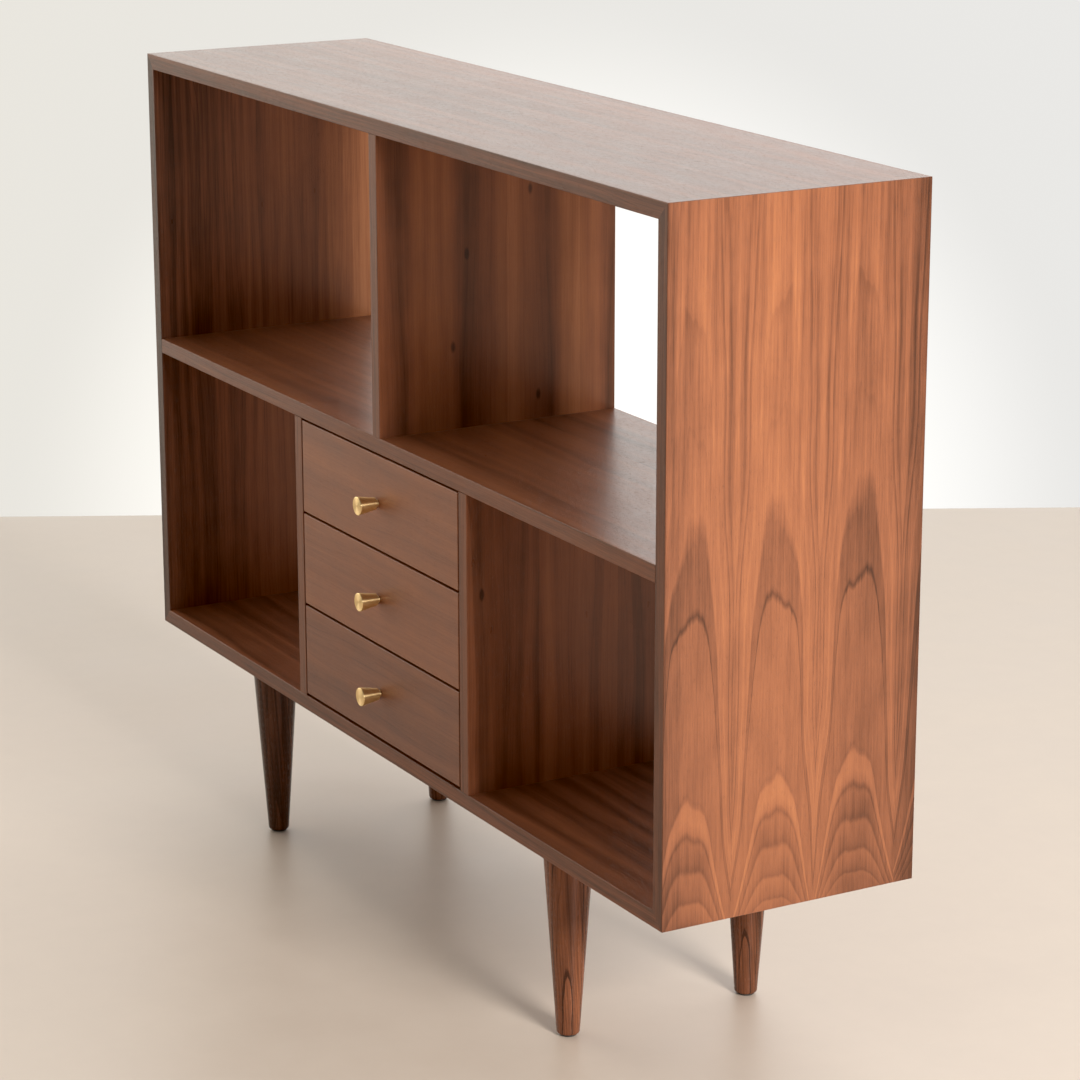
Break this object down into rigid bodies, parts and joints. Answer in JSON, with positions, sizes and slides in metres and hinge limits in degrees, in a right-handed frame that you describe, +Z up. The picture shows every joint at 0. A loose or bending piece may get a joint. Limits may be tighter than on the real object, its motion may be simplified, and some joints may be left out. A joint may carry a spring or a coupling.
{
  "type": "bookcase",
  "caption": "Low open walnut bookcase on tapered turned legs: wide upper bays over a lower bay, a stack of drawers with conical brass knobs, and another lower bay.",
  "frame": {"origin": "on the floor, under the middle of the whole object's box, knobs included", "axes": "+X to the viewer's right along the width, +Y towards the back, +Z up; drawers open towards -Y"},
  "size_m": [1.219, 0.325, 0.934],
  "materials": {
    "walnut_veneer": "satin lacquered American walnut veneer, crown-cut and book-matched",
    "walnut_edge": "satin lacquered solid walnut, grain along the length",
    "walnut_front": "satin lacquered walnut, grain running across the front",
    "walnut_leg": "satin lacquered turned walnut, dark reddish brown",
    "birch": "clear lacquered birch plywood and beech",
    "brass": "satin turned brass",
    "steel": "zinc-plated steel",
    "glide": "off-white nylon"
  },
  "bodies": {
    "case": {"top_panel": "walnut_veneer", "bottom_panel": "walnut_veneer", "left_side_panel": "walnut_veneer", "right_side_panel": "walnut_veneer", "middle_shelf": "walnut_veneer", "upper_divider": "walnut_veneer", "lower_left_partition": "walnut_veneer", "lower_right_partition": "walnut_veneer", "drawer_bay_back": "walnut_veneer", "top_lipping": "walnut_edge", "bottom_lipping": "walnut_edge", "left_side_lipping": "walnut_edge", "right_side_lipping": "walnut_edge", "shelf_lipping": "walnut_edge", "divider_lipping": "walnut_edge", "partition_lipping": "walnut_edge", "mitre_splines": "birch", "case_dowels": "birch", "leg_front_left": "walnut_leg", "leg_front_right": "walnut_leg", "leg_back_left": "walnut_leg", "leg_back_right": "walnut_leg", "leg_inserts": "brass", "leg_bolts": "steel", "foot_glides": "glide", "case_slide_members": "steel", "case_slide_screws": "steel"},
    "bottom_slide": {"bottom_slide_middle_members": "steel"},
    "bottom_drawer": {"bottom_drawer_front": "walnut_front", "bottom_drawer_box_front": "birch", "bottom_drawer_box_back": "birch", "bottom_drawer_box_sides": "birch", "bottom_drawer_box_bottom": "birch", "bottom_drawer_knob": "brass", "bottom_drawer_knob_screw": "steel", "bottom_drawer_front_screws": "steel", "bottom_drawer_slide_members": "steel", "bottom_drawer_slide_screws": "steel"},
    "middle_slide": {"middle_slide_middle_members": "steel"},
    "middle_drawer": {"middle_drawer_front": "walnut_front", "middle_drawer_box_front": "birch", "middle_drawer_box_back": "birch", "middle_drawer_box_sides": "birch", "middle_drawer_box_bottom": "birch", "middle_drawer_knob": "brass", "middle_drawer_knob_screw": "steel", "middle_drawer_front_screws": "steel", "middle_drawer_slide_members": "steel", "middle_drawer_slide_screws": "steel"},
    "top_slide": {"top_slide_middle_members": "steel"},
    "top_drawer": {"top_drawer_front": "walnut_front", "top_drawer_box_front": "birch", "top_drawer_box_back": "birch", "top_drawer_box_sides": "birch", "top_drawer_box_bottom": "birch", "top_drawer_knob": "brass", "top_drawer_knob_screw": "steel", "top_drawer_front_screws": "steel", "top_drawer_slide_members": "steel", "top_drawer_slide_screws": "steel"}
  },
  "joints": [
    {"name": "bottom_drawer_slide", "type": "slide", "parent": "case", "child": "bottom_drawer", "axis": [0, -1, 0], "range_m": [0, 0.25]},
    {"name": "bottom_slide_half", "type": "slide", "parent": "case", "child": "bottom_slide", "axis": [0, -1, 0], "range_m": [0, 0.125]},
    {"name": "middle_drawer_slide", "type": "slide", "parent": "case", "child": "middle_drawer", "axis": [0, -1, 0], "range_m": [0, 0.25]},
    {"name": "middle_slide_half", "type": "slide", "parent": "case", "child": "middle_slide", "axis": [0, -1, 0], "range_m": [0, 0.125]},
    {"name": "top_drawer_slide", "type": "slide", "parent": "case", "child": "top_drawer", "axis": [0, -1, 0], "range_m": [0, 0.25]},
    {"name": "top_slide_half", "type": "slide", "parent": "case", "child": "top_slide", "axis": [0, -1, 0], "range_m": [0, 0.125]}
  ],
  "couplings": [
    {"joint": "bottom_slide_half", "follows": "bottom_drawer_slide", "ratio": 0.5},
    {"joint": "middle_slide_half", "follows": "middle_drawer_slide", "ratio": 0.5},
    {"joint": "top_slide_half", "follows": "top_drawer_slide", "ratio": 0.5}
  ]
}
